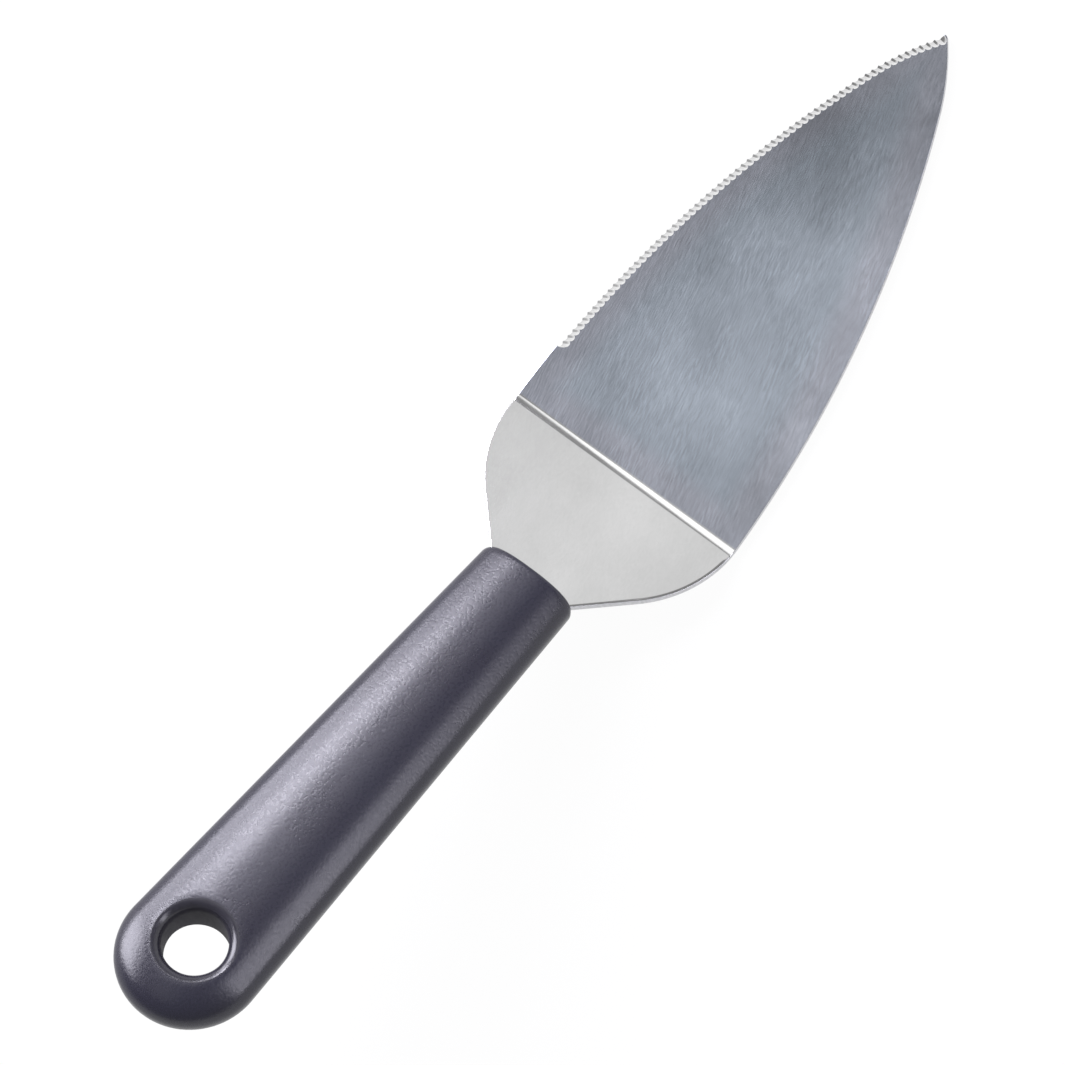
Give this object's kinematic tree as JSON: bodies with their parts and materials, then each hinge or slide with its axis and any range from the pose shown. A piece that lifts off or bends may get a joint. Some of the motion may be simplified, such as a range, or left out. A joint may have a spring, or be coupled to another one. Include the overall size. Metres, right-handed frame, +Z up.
{
  "type": "cake server",
  "caption": "Cake server with a pointed, serrated sheet-steel blade folded up to a dark moulded handle with a rounded hanging hole, for cutting and lifting slices of cake.",
  "frame": {"origin": "middle of the length and width, on the plane of the blade's underside", "axes": "+X along the blade towards its tip, +Y towards the serrated edge, +Z up from the blade's underside; the handle rises towards -X"},
  "size_m": [0.2562, 0.0578, 0.0581],
  "materials": {
    "blade_steel": "brushed along the blade",
    "handle_plastic": "fine spark texture, anthracite"
  },
  "bodies": {
    "root": {"blade": "blade_steel", "handle": "handle_plastic"}
  },
  "joints": []
}
